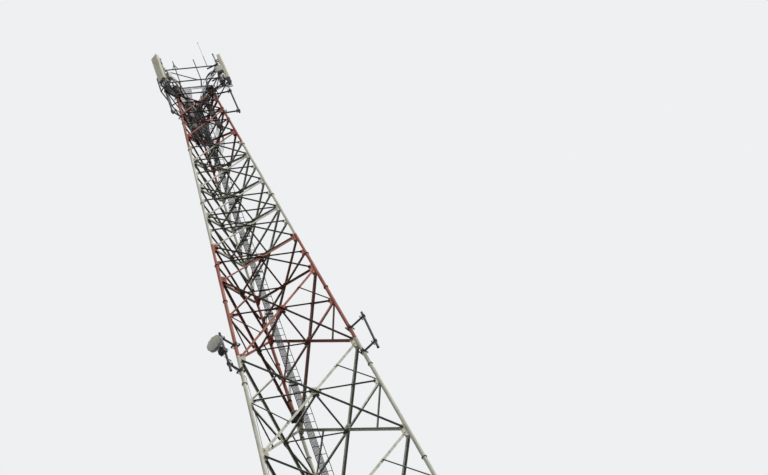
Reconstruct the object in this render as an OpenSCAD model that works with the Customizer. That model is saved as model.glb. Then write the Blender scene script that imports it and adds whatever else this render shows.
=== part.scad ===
// Three-legged lattice radio mast, drawn at half of its real size.
// The origin is the underside of the back leg's base plate; +Z is up and -Y is the front.

/* [Mast] */
// Distance between leg axes at the ground
base_width = 3920; // [3600:20:4200]
// Distance between leg axes at the top of the legs
top_width = 860; // [820:10:960]
// Height of a tall bracing panel
tall_panel_h = 2500; // [2400:20:2600]
// Height of a short bracing panel
short_panel_h = 1250; // [1200:10:1300]
// Height of the lowest bracing joint above the ground
foot_h = 220; // [200:5:260]
// Distance from the highest bracing joint to the top of the legs
crown_h = 150; // [135:5:200]

/* [Legs] */
// Outer diameter of the lower leg pipes
leg_od_lower = 78; // [70:1:84]
// Outer diameter of the middle leg pipes
leg_od_middle = 64; // [58:1:68]
// Outer diameter of the upper leg pipes
leg_od_upper = 54; // [48:1:57]
// Wall of the leg pipes
leg_wall = 4; // [3:0.5:5]
// Width that a joint flange stands out from its pipe
flange_rim = 13; // [10:1:16]
// Thickness of one joint flange
flange_t = 8; // [6:1:10]
// Height of a leg joint below the bracing joint above it
joint_drop = 700; // [690:10:760]

/* [Base plates] */
// Side of a base plate
base_side = 300; // [270:5:340]
// Thickness of a base plate
base_t = 20; // [14:1:28]
// Distance between anchor holes
anchor_spacing = 220; // [200:5:240]
// Diameter of an anchor hole
anchor_d = 18; // [14:1:22]
// Height of the stiffeners on a base plate
stiffener_h = 110; // [80:5:130]

/* [Bracing] */
// Flange width of the lower diagonals
diag_lower = 55; // [48:1:62]
// Flange width of the middle diagonals
diag_middle = 46; // [40:1:52]
// Flange width of the upper diagonals
diag_upper = 36; // [32:1:40]
// Flange width of the horizontals
horizontal_w = 32; // [28:1:36]
// Flange width of the redundant bars
redundant_w = 25; // [22:1:30]
// Thickness of the bracing angles
angle_t = 4; // [3:0.5:5]
// Thickness of the gusset plates
gusset_t = 6; // [5:0.5:8]
// Flange width of the plan bracing
plan_w = 30; // [26:1:36]

/* [Ladder and cables] */
// Width of the climbing ladder between stringer centres
ladder_w = 200; // [180:5:210]
// Distance from the back leg's axis to the ladder plane
ladder_off = 490; // [470:5:500]
// Sideways distance from the back leg to the ladder's centre
ladder_shift = 95; // [80:5:100]
// Diameter of a rung
rung_d = 11; // [9:0.5:13]
// Distance between rungs
rung_pitch = 200; // [180:5:220]
// Depth of a ladder stringer
stringer_d = 30; // [24:1:34]
// Thickness of a ladder stringer
stringer_t = 5; // [4:0.5:7]
// Diameter of a feeder cable
feeder_d = 15; // [12:0.5:16]
// Distance from the back leg's axis to the feeder cables
feeder_off = 380; // [360:5:400]

/* [Platforms] */
// Thickness of the platform deck
deck_t = 14; // [10:1:18]
// Distance from the mast's axis to a long edge of the deck
deck_in = 345; // [330:5:370]
// Distance from the mast's axis to a corner edge of the deck
deck_corner = 570; // [555:5:600]
// Depth of the deck's edge channel
deck_frame_h = 40; // [30:1:50]
// Length of a rest platform
rest_l = 270; // [240:5:300]
// Width of a rest platform
rest_w = 180; // [150:5:190]

/* [Head frame] */
// Distance from the mast's axis to a long bar of the head frame
head_in = 525; // [510:5:560]
// Length of a corner bar of the head frame
head_corner = 250; // [220:5:280]
// Height of the upper bars above the leg tops
head_rise = 750; // [700:10:800]
// Height of the front posts above the upper bars
post_rise = 480; // [400:10:560]
// Diameter of the head frame's tubes
head_d = 30; // [26:1:34]
// Diameter of the antenna pipes
pole_d = 38; // [34:1:42]
// Length of an antenna pipe
pole_len = 1420; // [1300:20:1500]

/* [Antennas] */
// Height of a panel antenna
panel_h = 1160; // [1100:20:1220]
// Width of a panel antenna
panel_w = 205; // [190:5:215]
// Depth of a panel antenna
panel_d = 108; // [98:1:112]
// Distance from an antenna's back to its pipe's axis
panel_gap = 105; // [95:5:120]
// Height of an antenna's middle below the middle of its pipe
panel_drop = 95; // [80:5:110]
// Diameter of the dish
dish_d = 290; // [270:5:310]
// Depth of the dish
dish_depth = 55; // [45:1:70]
// Sideways distance from the mast's axis to the dish's pipe
dish_x = 1250; // [1220:5:1300]
// Distance from the mast's axis forward to the dish's pipe
dish_y = 800; // [760:5:840]
// Height of the dish's centre above the middle of its stand-off pipe
dish_up = 20; // [-60:5:100]
// Direction of the dish, from the right-hand side anticlockwise
dish_azimuth = 228; // [215:1:240]
// Distance from the dish's pipe to the back of the dish
dish_reach = 150; // [130:5:180]
// Depth of the dish's shroud
shroud = 60; // [50:5:70]
// Diameter of a stand-off pipe
standoff_d = 42; // [38:1:44]
// Length of the lightning rod above the upper ring
rod_len = 1500; // [1300:25:1600]

/* [Hidden] */

tall_panels = 8;
short_panels = 7;
lift_panels = 4;
back = 90;
left = 210;
right = 330;
front_face = 270;
left_face = 150;
right_face = 30;
fit_gap = 0.2;
round_fn = 48;
small_fn = 24;
tall_top = tall_panels*tall_panel_h;
mast_h = tall_top + short_panels*short_panel_h;
panels = tall_panels + short_panels;
taper = (base_width - top_width)/mast_h;
leg_lean = atan(taper/sqrt(3));
face_lean = atan(taper/(2*sqrt(3)));
edge_lean = atan(taper/2*cos(face_lean));
levels = [for (k = [0:panels]) k == 0 ? foot_h : k == panels ? mast_h - crown_h
  : k <= tall_panels ? k*tall_panel_h : tall_top + (k - tall_panels)*short_panel_h];
lower_top = splice_h(lift_panels);
middle_top = splice_h(tall_panels);
red = [0.62, 0.25, 0.19];
cream = [0.83, 0.80, 0.71];
steel = [0.55, 0.57, 0.57];
dark = [0.25, 0.27, 0.27];

function width_at(h) = base_width - taper*h;
function radius_at(h) = width_at(h)/sqrt(3);
function inradius_at(h) = width_at(h)/(2*sqrt(3));
function along_leg(h) = h/cos(leg_lean);
function splice_h(k) = levels[k + 1] - joint_drop;
function leg_r(h) = (h < lower_top ? leg_od_lower : h < middle_top ? leg_od_middle : leg_od_upper)/2;
function cross_h(k) = levels[k] + (levels[k + 1] - levels[k])
  *width_at(levels[k])/(width_at(levels[k]) + width_at(levels[k + 1]));
function face_pt(h, side) = [side*width_at(h)/2, h/cos(face_lean)];
function diag_w(k) = k < lift_panels ? diag_lower : k < tall_panels ? diag_middle : diag_upper;
function joint_grip(h) = leg_r(h)*1.25 + 34;
function joint_h(h) = leg_r(h)*2 + 84;
function joint_reach(h) = leg_r(h) + 84;
band_tops = concat([for (k = [1.75:1.75:7]) k*tall_panel_h], [for (k = [1, 4.5]) tall_top + k*short_panel_h]);
function paint(h) = len([for (t = band_tops) if (h >= t) t])%2 == 0 ? red : cream;

// Frames of reference: the mast's axis, one leg and one face
module on_mast() translate([0, -radius_at(0), 0]) children();
module on_leg(a) on_mast() rotate([0, 0, a]) translate([radius_at(0), 0, 0])
  rotate([0, -leg_lean, 0]) children();
module on_face(b) on_mast() rotate([0, 0, b + 90]) translate([0, -inradius_at(0), 0])
  rotate([90 - face_lean, 0, 0]) children();

// Equal angle between two points of a face: side is the gusset's face that it lies on,
// and lip says whether its outstanding flange is on the upper or the lower edge
module angle_bar(a, b, gap_a, gap_b, w, side, lip) {
  v = b - a;
  edge = lip*sign(v.x);
  section = [[-w/2, 0], [w/2, 0], [w/2, w], [w/2 - angle_t, w], [w/2 - angle_t, angle_t], [-w/2, angle_t]];
  translate([a.x, a.y, side*gusset_t/2]) rotate([0, 0, atan2(v.y, v.x)]) translate([gap_a, 0, 0])
    rotate([90, 0, 90]) linear_extrude(norm(v) - gap_a - gap_b)
      polygon([for (p = section) [edge*p.x, side*p.y]]);
}

module plate(points, t) translate([0, 0, -t/2]) linear_extrude(t) polygon(points);

// Gusset welded to a leg, in the plane of the face; dir points into the face
module leg_gusset(h, dir, half, reach) {
  p = face_pt(h, -dir);
  translate([p.x, p.y, 0]) rotate([0, 0, -dir*edge_lean])
    plate([[0, -half], [dir*reach*0.62, -half], [dir*reach, -half*0.55],
      [dir*reach, half*0.55], [dir*reach*0.62, half], [0, half]], gusset_t);
}

module leg_gussets(a, from_h, to_h) {
  for (f = [[a + 60, 1], [a - 60, -1]]) on_face(f[0]) {
    for (h = levels) if (h >= from_h && h < to_h) leg_gusset(h, f[1], joint_h(h), joint_reach(h));
    for (k = [0:panels - 1]) if (cross_h(k) >= from_h && cross_h(k) < to_h)
      leg_gusset(cross_h(k), f[1], leg_r(cross_h(k)) + 40, joint_reach(cross_h(k)) - 10);
  }
}

module flange(s, r, up) translate([0, 0, up ? s : s - flange_t])
  cylinder(h = flange_t, r = r + flange_rim, $fn = round_fn);

// One lift of a leg: flanged pipe lengths with their gussets
module leg_lift(a, from_h, to_h, joints) {
  r = leg_r(from_h);
  color(paint(from_h)) difference() {
    union() {
      on_leg(a) {
        translate([0, 0, along_leg(from_h)])
          cylinder(h = along_leg(to_h) - along_leg(from_h), r = r, $fn = round_fn);
        flange(along_leg(from_h), r, true);
        flange(along_leg(to_h), r, false);
        for (k = joints, up = [false, true]) flange(along_leg(splice_h(k)), r, up);
      }
      leg_gussets(a, from_h, to_h);
    }
    on_leg(a) translate([0, 0, along_leg(from_h) - 1])
      cylinder(h = along_leg(to_h) - along_leg(from_h) + 2, r = r - leg_wall, $fn = round_fn);
  }
}

foot_top = 140;
module leg_lower(a) leg_lift(a, foot_top, lower_top, [0:lift_panels - 1]);
module leg_middle(a) leg_lift(a, lower_top, middle_top, [lift_panels + 1:tall_panels - 1]);
module leg_upper(a) leg_lift(a, middle_top, mast_h, [tall_panels + 2:2:tall_panels + 4]);

// Base plate with its stub, stiffeners and anchor holes
module base_plate(a) {
  r = leg_od_lower/2;
  color(steel) difference() {
    union() {
      on_mast() rotate([0, 0, a]) translate([radius_at(0), 0, base_t/2])
        cube([base_side, base_side, base_t], center = true);
      on_leg(a) translate([0, 0, -base_t]) cylinder(h = along_leg(foot_top) + base_t, r = r, $fn = round_fn);
      on_leg(a) flange(along_leg(foot_top), r, false);
      on_mast() rotate([0, 0, a]) translate([radius_at(0), 0, base_t]) for (t = [45:90:315])
        rotate([0, 0, t]) rotate([90, 0, 0]) plate([[r/2, 0], [base_side/2, 0], [base_side/2, 20],
          [r + 8, stiffener_h], [r/2, stiffener_h]], 10);
    }
    translate([0, 0, -100]) on_mast() cube([3*base_width, 3*base_width, 200], center = true);
    on_leg(a) translate([0, 0, along_leg(base_t)]) cylinder(h = along_leg(foot_top), r = r - leg_wall, $fn = round_fn);
    on_mast() rotate([0, 0, a]) translate([radius_at(0), 0, -1]) for (x = [-1, 1], y = [-1, 1])
      translate([x*anchor_spacing/2, y*anchor_spacing/2, 0]) cylinder(h = base_t + 2, d = anchor_d, $fn = small_fn);
  }
}

// One panel of a face: crossed diagonals, the horizontal through their crossing and the redundants
module panel(k) {
  low = levels[k];
  top = levels[k + 1];
  mid = cross_h(k);
  w = diag_w(k);
  c = [0, mid/cos(face_lean)];
  angle_bar(face_pt(low, -1), face_pt(top, 1), joint_grip(low), joint_grip(top), w, -1, 1);
  angle_bar(face_pt(low, 1), face_pt(top, -1), joint_grip(low), joint_grip(top), w, 1, -1);
  translate([c.x, c.y, 0]) plate([[-w*2.2, -w*0.8], [-w, -w*2], [w, -w*2], [w*2.2, -w*0.8],
    [w*2.2, w*0.8], [w, w*2], [-w, w*2], [-w*2.2, w*0.8]], gusset_t);
  for (s = [-1, 1]) {
    m = face_pt(mid, s);
    angle_bar(m, c, joint_grip(mid), w*1.3, horizontal_w, 1, -1);
    if (k < tall_panels) for (e = [[low, 1], [top, -1]]) {
      p = (face_pt(e[0], s) + c)/2;
      v = c - face_pt(e[0], s);
      angle_bar(m, p, joint_grip(mid), 0, redundant_w, -s*e[1], -1);
      translate([p.x, p.y, 0]) rotate([0, 0, atan2(v.y, v.x)])
        plate([[-w, -w/2], [w, -w/2], [w, w/2], [-w, w/2]], gusset_t);
    }
  }
}

module lattice(b, from_k, to_k) color(paint(levels[from_k])) on_face(b) {
  for (k = [from_k:to_k]) panel(k);
  for (k = [from_k + 1:to_k + 1]) if (k > tall_panels && (k - tall_panels)%2 == 0 || k == panels)
    angle_bar(face_pt(levels[k], -1), face_pt(levels[k], 1),
      joint_grip(levels[k]), joint_grip(levels[k]), horizontal_w, 1, -1);
}

// Triangle of angles between the three face centres, just below the crossings
module plan_frame(k) {
  h = cross_h(k) - diag_w(k)*1.5;
  seat = inradius_at(h + gusset_t) - gusset_t/2/cos(face_lean) - fit_gap;
  reach = 70;
  on_mast() translate([0, 0, h]) {
    for (b = [front_face, left_face, right_face]) rotate([0, 0, b]) {
      linear_extrude(gusset_t) polygon([[seat, -18], [seat, 18], [seat - reach/2, 60], [seat - reach, 60],
        [seat - reach, -60], [seat - reach/2, -60]]);
    }
    for (b = [front_face, left_face, right_face]) {
      p = (seat - reach/2)*[cos(b), sin(b)];
      q = (seat - reach/2)*[cos(b + 120), sin(b + 120)];
      v = q - p;
      translate([p.x, p.y, 0]) rotate([0, 0, atan2(v.y, v.x)]) translate([24, 0, 0]) rotate([90, 0, 90])
        linear_extrude(norm(v) - 48) polygon([[-plan_w/2, 0], [plan_w/2, 0], [plan_w/2, angle_t],
          [angle_t - plan_w/2, angle_t], [angle_t - plan_w/2, plan_w], [-plan_w/2, plan_w]]);
    }
  }
}

plan_last = tall_panels + 4;
module plan_bracing(from_k, to_k) color(dark) for (k = [from_k:to_k]) plan_frame(k);

// Ladder in the back leg's frame, where x points away from the mast's axis and y to the left
ladder_foot = 300;
ladder_top = mast_h + 40;
ladder_split = floor((ladder_top - ladder_foot)/rung_pitch/2)*rung_pitch + ladder_foot;
module ladder(from_s, to_s) color(dark) on_leg(back) {
  for (y = [-1, 1]) translate([-ladder_off - stringer_d/2, -ladder_shift + y*ladder_w/2 - stringer_t/2, from_s])
    cube([stringer_d, stringer_t, to_s - from_s]);
  for (s = [from_s + rung_pitch/2:rung_pitch:to_s - 20]) translate([-ladder_off, -ladder_shift - ladder_w/2, s])
    rotate([-90, 0, 0]) cylinder(h = ladder_w, d = rung_d, $fn = small_fn);
}

// Brackets from the back leg to the ladder and the feeder cables
bracket_levels = [for (k = [0:panels - 1]) (levels[k]*0.42 + cross_h(k)*0.58)];
bracket_h = 36;
bracket_t = 6;
module leg_collar(s, r, h) translate([0, 0, s - h/2]) difference() {
  cylinder(h = h, r = r + fit_gap + 8, $fn = round_fn);
  translate([0, 0, -1]) cylinder(h = h + 2, r = r + fit_gap, $fn = round_fn);
}
module ladder_bracket(h) {
  s = along_leg(h);
  r = leg_r(h);
  bar_x = -ladder_off + stringer_d/2 + fit_gap;
  far_y = -ladder_shift - ladder_w/2 - 8;
  on_leg(back) {
    leg_collar(s, r, bracket_h);
    for (y = [-18, 12]) translate([bar_x + 1, y, s - bracket_h/2]) cube([-bar_x - 1 - r - 4, bracket_t, bracket_h]);
    translate([bar_x, far_y, s - bracket_h/2]) cube([bracket_t, 20 - far_y, bracket_h]);
    translate([-feeder_off - bracket_t, -150, s - bracket_h/2]) cube([bracket_t, 168, bracket_h]);
  }
}
module ladder_brackets() color(dark) for (h = bracket_levels) ladder_bracket(h);

feeders = 6;
feeder_foot = 1200;
feeder_drop = 200;
module feeder_cables() color([0.12, 0.12, 0.12]) on_leg(back) for (i = [0:feeders - 1])
  translate([-feeder_off + feeder_d/2 + fit_gap, -30 - i*(feeder_d + 6), feeder_foot])
    cylinder(h = mast_h - feeder_drop - feeder_foot, d = feeder_d, $fn = small_fn);

// Small resting platforms beside the ladder, each on its own collar and arms
module rest_platform(k) {
  h = levels[k] - joint_h(levels[k]) - 40;
  s = along_leg(h);
  r = leg_r(h);
  near_x = -ladder_off + 70;
  near_y = ladder_w/2 - ladder_shift + 12;
  on_leg(back) {
    leg_collar(s - 20, r, 40);
    for (y = [near_y - 4, near_y + 22]) translate([near_x - rest_l, y, s - 38])
      cube([rest_l - near_x - r - 4, bracket_t, 34]);
    for (x = [near_x - rest_l, near_x - rest_l/2, near_x - bracket_t]) translate([x, near_y - 4, s - 38])
      cube([bracket_t, rest_w + 4, 34]);
    translate([near_x - rest_l, near_y, s - 4]) cube([rest_l, rest_w, 6]);
  }
}
module rest_platforms() color(dark) for (k = [3, 7]) rest_platform(k);

// Outline with three long and three short sides, at distances a and b from the axis
function deck_outline(a, b) = [for (i = [0:5]) let (t = 30 + 60*i, n = i%2 == 0 ? [t, a] : [t, b],
  m = i%2 == 0 ? [t + 60, b] : [t + 60, a], d = sin(60))
  [(n[1]*sin(m[0]) - m[1]*sin(n[0]))/d, (m[1]*cos(n[0]) - n[1]*cos(m[0]))/d]];

hatch = [[-35, -270], [225, 40]];
deck_z = mast_h + deck_frame_h;

module platform_frame() color(dark) on_mast() translate([0, 0, mast_h]) {
  difference() {
    linear_extrude(deck_frame_h) polygon(deck_outline(deck_in, deck_corner));
    translate([0, 0, -1]) linear_extrude(deck_frame_h + 2) polygon(deck_outline(deck_in - 8, deck_corner - 8));
  }
  intersection() {
    linear_extrude(deck_frame_h) polygon(deck_outline(deck_in - 4, deck_corner - 4));
    for (a = [back, left, right]) rotate([0, 0, a]) translate([0, 0, deck_frame_h/2]) {
      translate([deck_corner - 70, 0, 0]) cube([10, 2*deck_corner, deck_frame_h], center = true);
      translate([radius_at(mast_h), 0, 6 - deck_frame_h/2]) cube([160, 130, 12], center = true);
      for (y = [-60, 60]) translate([deck_corner - 100, y, 0]) cube([200, 8, deck_frame_h], center = true);
    }
  }
}

// Deck of four panels round the hatch
panel_slit = 4;
module platform_deck() color(dark) on_mast() translate([0, 0, deck_z]) linear_extrude(deck_t)
  for (b = [[-deck_corner, -deck_corner, hatch[0].x, deck_corner],
    [hatch[1].x, -deck_corner, deck_corner, deck_corner],
    [hatch[0].x + panel_slit, -deck_corner, hatch[1].x - panel_slit, hatch[0].y],
    [hatch[0].x + panel_slit, hatch[1].y, hatch[1].x - panel_slit, deck_corner]])
    intersection() {
      polygon(deck_outline(deck_in, deck_corner));
      translate([b[0], b[1]]) square([b[2] - b[0], b[3] - b[1]]);
    }

// Head frame: outriggers, two rings of tube and upright posts
head_far = 2*head_in - head_corner*sin(60);
head_half = (head_far - head_in/2)/sin(60);
ring_pts = deck_outline(head_in, head_far);
low_ring = deck_frame_h/2;
mast_posts = [-320, 195];
brace_d = head_d*0.8;
stay_foot = 120;
stay_rise = 300;
stay_spread = 65;
ring_stub = 95;
module tube(p, q, d) {
  v = q - p;
  translate(p) rotate([0, acos(v.z/norm(v)), atan2(v.y, v.x)]) cylinder(h = norm(v), d = d, $fn = small_fn);
}
module ring(z) for (i = [0:5])
  tube([ring_pts[i].x, ring_pts[i].y, z], [ring_pts[(i + 1)%6].x, ring_pts[(i + 1)%6].y, z], head_d);
module head_frame() color(dark) on_mast() translate([0, 0, mast_h]) {
  ring(low_ring);
  ring(head_rise);
  for (p = ring_pts) translate([p.x, p.y, low_ring - head_d/2 - 3])
    cylinder(h = head_rise - low_ring + head_d + 6, d = head_d + 5, $fn = small_fn);
  for (f = [front_face, left_face, right_face]) rotate([0, 0, f + 90]) for (x = mast_posts) {
    tube([x, -deck_in - fit_gap, low_ring], [x, -head_in, low_ring], head_d);
    tube([x, -head_in, low_ring], [x, -head_in, head_rise + (f == front_face ? post_rise : 0)], brace_d);
    if (x < 0) tube([-head_half + 30, -head_in, head_rise], [stay_foot, -head_in, low_ring], brace_d);
  }
  for (x = [-1, 1]) tube([mast_posts[0], -head_in, head_rise + stay_rise],
    [mast_posts[0] + x*stay_spread, -head_in, head_rise], brace_d*0.8);
  for (z = [low_ring, head_rise]) tube([head_half, -head_in, z], [head_half + ring_stub, -head_in, z], head_d);
}

// Antenna pipes, clamped to the outside of the two rings
pole_z = mast_h - 60;
pole_seat = head_d/2 + pole_d/2 + fit_gap;
poles = [["left", -head_half + 50, -head_in - pole_seat, 213, 0, 33],
  ["right", head_half + 55, -head_in - pole_seat, 350, 0, 255],
  ["back", 0, head_far + pole_seat, 90, 180, 270]];
panel_z = pole_z + (pole_len - panel_h)/2 - panel_drop;
bracket_zs = [panel_z + panel_h*0.12, panel_z + panel_h*0.88];
module at_pole(i) on_mast() translate([poles[i][1], poles[i][2], 0]) children();
module pole_clamp(i) difference() {
  rotate([0, 0, poles[i][4]]) translate([0, 6, 0]) cube([pole_d + 14, pole_d + 26, 44], center = true);
  rotate([0, 0, poles[i][4]]) translate([0, pole_seat, 0]) rotate([0, 90, 0])
    cylinder(h = 400, d = head_d + 2*fit_gap, center = true, $fn = small_fn);
}
module antenna_pipes() color(steel) for (i = [0:2]) at_pole(i) {
  translate([0, 0, pole_z]) cylinder(h = pole_len, d = pole_d, $fn = round_fn);
  for (z = [low_ring, head_rise]) translate([0, 0, mast_h + z]) pole_clamp(i);
  rotate([0, 0, poles[i][3]]) for (z = bracket_zs) translate([0, -20, z - 15]) cube([panel_gap, 40, 30]);
}

// Panel antennas: a rounded profile with end caps
module rounded_panel(w, d, r) {
  translate([0, -w/2]) square([d - r, w]);
  translate([0, r - w/2]) square([d, w - 2*r]);
  for (y = [-1, 1]) translate([d - r, y*(w/2 - r)]) circle(r = r, $fn = small_fn);
}
module panel_antenna(i) color(cream) at_pole(i) rotate([0, 0, poles[i][3]]) translate([panel_gap, 0, panel_z]) {
  translate([0, 0, 12]) linear_extrude(panel_h - 24) rounded_panel(panel_w, panel_d, panel_d*0.4);
  for (z = [0, panel_h - 12]) translate([3, 0, z]) linear_extrude(12)
    rounded_panel(panel_w - 8, panel_d - 7, panel_d*0.36);
}

// Radio units on the antenna pipes and, inside the mast's top, on the legs
radio_size = [80, 140, 230];
radio_fin = 22;
radio_up = 260;
leg_radio_hs = [mast_h - 1670, mast_h - 930];
leg_radio_off = 150;
module radio_case() {
  translate([0, -radio_size.y/2, 0]) cube([radio_size.x - radio_fin, radio_size.y, radio_size.z]);
  for (k = [0:6]) translate([radio_size.x - radio_fin, 8 - radio_size.y/2 + k*20, 6])
    cube([radio_fin, 5, radio_size.z - 12]);
}
module radio_units() color(cream) {
  for (i = [0:2]) at_pole(i) rotate([0, 0, poles[i][5]]) translate([pole_d/2 + 14, 0, panel_z + radio_up]) {
    radio_case();
    for (z = [30, radio_size.z - 50]) translate([fit_gap - 14, -25, z]) cube([14, 50, 20]);
  }
  for (a = [left, right], h = leg_radio_hs) on_leg(a) {
    translate([-leg_radio_off, 0, along_leg(h) - radio_size.z/2]) rotate([0, 0, 180]) radio_case();
    leg_collar(along_leg(h), leg_r(h), 30);
    translate([-leg_radio_off - 1, -10, along_leg(h) - 15]) cube([leg_radio_off - leg_r(h) - 3, 20, 30]);
  }
}

// Stand-off: two collars on a leg, two arms and an upright pipe
clamp_l = 150;
clamp_t = 10;
clamp_h = 44;
module standoff(a, x, y, from_h, to_h, arm_low, arm_high) color(dark) {
  on_mast() translate([x, y, from_h]) cylinder(h = to_h - from_h, d = standoff_d, $fn = small_fn);
  for (h = [arm_low, arm_high]) {
    r = leg_r(h);
    p = [radius_at(h)*cos(a), radius_at(h)*sin(a), h];
    q = [x, y, h];
    v = (q - p)/norm(q - p);
    difference() {
      union() {
        on_leg(a) leg_collar(along_leg(h), r, clamp_h);
        on_mast() tube(p + v*(r + 2), q, standoff_d*0.9);
        on_mast() translate(p) rotate([0, 0, atan2(v.y, v.x)]) for (x = [-1, 1]) {
          translate([x*(r + clamp_t), 0, 0]) cube([clamp_t, clamp_l, clamp_h], center = true);
          translate([0, x*(clamp_l/2 - 13), 0]) rotate([0, 90, 0])
            cylinder(h = 2*r + 4*clamp_t, d = 12, center = true, $fn = small_fn);
        }
      }
      on_leg(a) translate([0, 0, along_leg(h) - 60]) cylinder(h = 120, r = r + fit_gap, $fn = round_fn);
    }
    on_mast() translate([x, y, h - clamp_h/2]) cylinder(h = clamp_h, d = standoff_d + 14, $fn = small_fn);
  }
}
side_h = 7*tall_panel_h;
module standoff_dish()
  standoff(left, -dish_x, -dish_y, side_h - 520, side_h + 520, side_h - 340, side_h + 400);
module standoff_lower_right()
  standoff(right, dish_x, -dish_y, side_h - 520, side_h + 520, side_h - 340, side_h + 400);
module standoff_upper_left()
  standoff(left, -720, -470, mast_h - 1520, mast_h - 190, mast_h - 1440, mast_h - 330);
module standoff_upper_right()
  standoff(right, 840, -310, mast_h - 1520, mast_h - 230, mast_h - 1440, mast_h - 330);

// Dish with its mount; x points along the beam
module at_dish() on_mast() translate([-dish_x, -dish_y, side_h + dish_up]) rotate([0, 0, dish_azimuth]) children();
module dish_mount() color(dark) at_dish() difference() {
  union() {
    translate([8, 0, 0]) cube([standoff_d + 38, standoff_d + 22, 70], center = true);
    translate([20, 0, 0]) rotate([0, 90, 0]) cylinder(h = dish_reach - 20, d = 60, $fn = round_fn);
  }
  cylinder(h = 400, d = standoff_d + 2*fit_gap, center = true, $fn = small_fn);
}
dish_steps = 8;
module dish() color(steel) at_dish() translate([dish_reach, 0, 0]) rotate([0, 90, 0]) rotate_extrude($fn = 96)
  polygon(concat([[0, 0]], [for (i = [1:dish_steps]) [dish_d/2*i/dish_steps, dish_depth*pow(i/dish_steps, 2)]],
    [[dish_d/2 + 6, dish_depth], [dish_d/2 + 6, dish_depth + shroud], [dish_d/2, dish_depth + shroud],
    [dish_d/2 - 3, dish_depth + 4]],
    [for (i = [dish_steps - 1:-1:1]) [dish_d/2*i/dish_steps, dish_depth*pow(i/dish_steps, 2) + 4]], [[0, 4]]));
module dish_radome() color(cream) at_dish() translate([dish_reach + dish_depth + shroud, 0, 0]) rotate([0, 90, 0])
  rotate_extrude($fn = 96) polygon([[0, 0], [dish_d/2 + 6, 0], [dish_d/2 + 6, 4], [dish_d/4, 14], [0, 18]]);

// Lightning rod on the front bar of the upper ring
rod_x = 470;
module lightning_rod() color(steel) on_mast() translate([rod_x, -head_in, mast_h + head_rise]) {
  translate([0, 0, head_d/2 + fit_gap]) cylinder(h = rod_len*0.4, d = 22, $fn = small_fn);
  translate([0, 0, rod_len*0.4]) cylinder(h = rod_len*0.6, d = 9, $fn = small_fn);
  translate([0, 0, rod_len]) sphere(d = 26, $fn = small_fn);
}

base_plate(back);  // base_plate_back
base_plate(left);  // base_plate_left
base_plate(right);  // base_plate_right
leg_lower(back);  // leg_back_lower
leg_middle(back);  // leg_back_middle
leg_upper(back);  // leg_back_upper
leg_lower(left);  // leg_left_lower
leg_middle(left);  // leg_left_middle
leg_upper(left);  // leg_left_upper
leg_lower(right);  // leg_right_lower
leg_middle(right);  // leg_right_middle
leg_upper(right);  // leg_right_upper
lattice(front_face, 0, lift_panels - 1);  // front_lattice_lower
lattice(front_face, lift_panels, tall_panels - 1);  // front_lattice_middle
lattice(front_face, tall_panels, panels - 1);  // front_lattice_upper
lattice(left_face, 0, lift_panels - 1);  // left_lattice_lower
lattice(left_face, lift_panels, tall_panels - 1);  // left_lattice_middle
lattice(left_face, tall_panels, panels - 1);  // left_lattice_upper
lattice(right_face, 0, lift_panels - 1);  // right_lattice_lower
lattice(right_face, lift_panels, tall_panels - 1);  // right_lattice_middle
lattice(right_face, tall_panels, panels - 1);  // right_lattice_upper
plan_bracing(0, lift_panels - 1);  // plan_bracing_lower
plan_bracing(lift_panels, tall_panels - 1);  // plan_bracing_middle
plan_bracing(tall_panels, plan_last);  // plan_bracing_upper
ladder(ladder_foot, ladder_split);  // ladder_lower
ladder(ladder_split, ladder_top);  // ladder_upper
ladder_brackets();
feeder_cables();
rest_platforms();
platform_frame();
platform_deck();
head_frame();
antenna_pipes();
panel_antenna(0);  // panel_antenna_left
panel_antenna(1);  // panel_antenna_right
panel_antenna(2);  // panel_antenna_back
radio_units();
standoff_dish();
standoff_lower_right();
standoff_upper_left();
standoff_upper_right();
dish_mount();
dish();
dish_radome();
lightning_rod();
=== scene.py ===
import math
import random
import bpy
import bmesh
from mathutils import Euler, Matrix, Vector


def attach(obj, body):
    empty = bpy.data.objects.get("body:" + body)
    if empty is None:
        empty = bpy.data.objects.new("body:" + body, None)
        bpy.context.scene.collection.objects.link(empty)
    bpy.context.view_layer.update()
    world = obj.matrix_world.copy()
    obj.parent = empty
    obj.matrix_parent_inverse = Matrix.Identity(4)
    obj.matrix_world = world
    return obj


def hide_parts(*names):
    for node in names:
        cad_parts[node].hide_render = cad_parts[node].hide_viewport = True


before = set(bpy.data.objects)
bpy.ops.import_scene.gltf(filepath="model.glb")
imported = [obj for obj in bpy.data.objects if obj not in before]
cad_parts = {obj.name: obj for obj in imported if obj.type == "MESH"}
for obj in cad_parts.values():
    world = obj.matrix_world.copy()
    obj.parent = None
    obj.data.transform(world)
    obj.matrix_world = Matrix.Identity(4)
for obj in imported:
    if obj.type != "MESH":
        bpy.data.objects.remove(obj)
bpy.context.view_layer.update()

scene = bpy.context.scene
random.seed(11)

# camera, at eye height in front of the mast, looking up
viewFrom = {
    "place": (-3.7326, -15.7537, 0.8597),
    "turn": (147.6255, 16.4274, -1.4942),
    "lens": 58.68,
    "sensor": 36.0,
    "clip": (0.1, 400.0),
}


def makeCamera():
    camData = bpy.data.cameras.new("viewer")
    camData.lens = viewFrom["lens"]
    camData.sensor_width = viewFrom["sensor"]
    camData.clip_start, camData.clip_end = viewFrom["clip"]
    cam = bpy.data.objects.new("viewer", camData)
    cam.location = viewFrom["place"]
    cam.rotation_euler = Euler([math.radians(t) for t in viewFrom["turn"]])
    scene.collection.objects.link(cam)
    scene.camera = cam


makeCamera()
print("camera ready")

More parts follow.
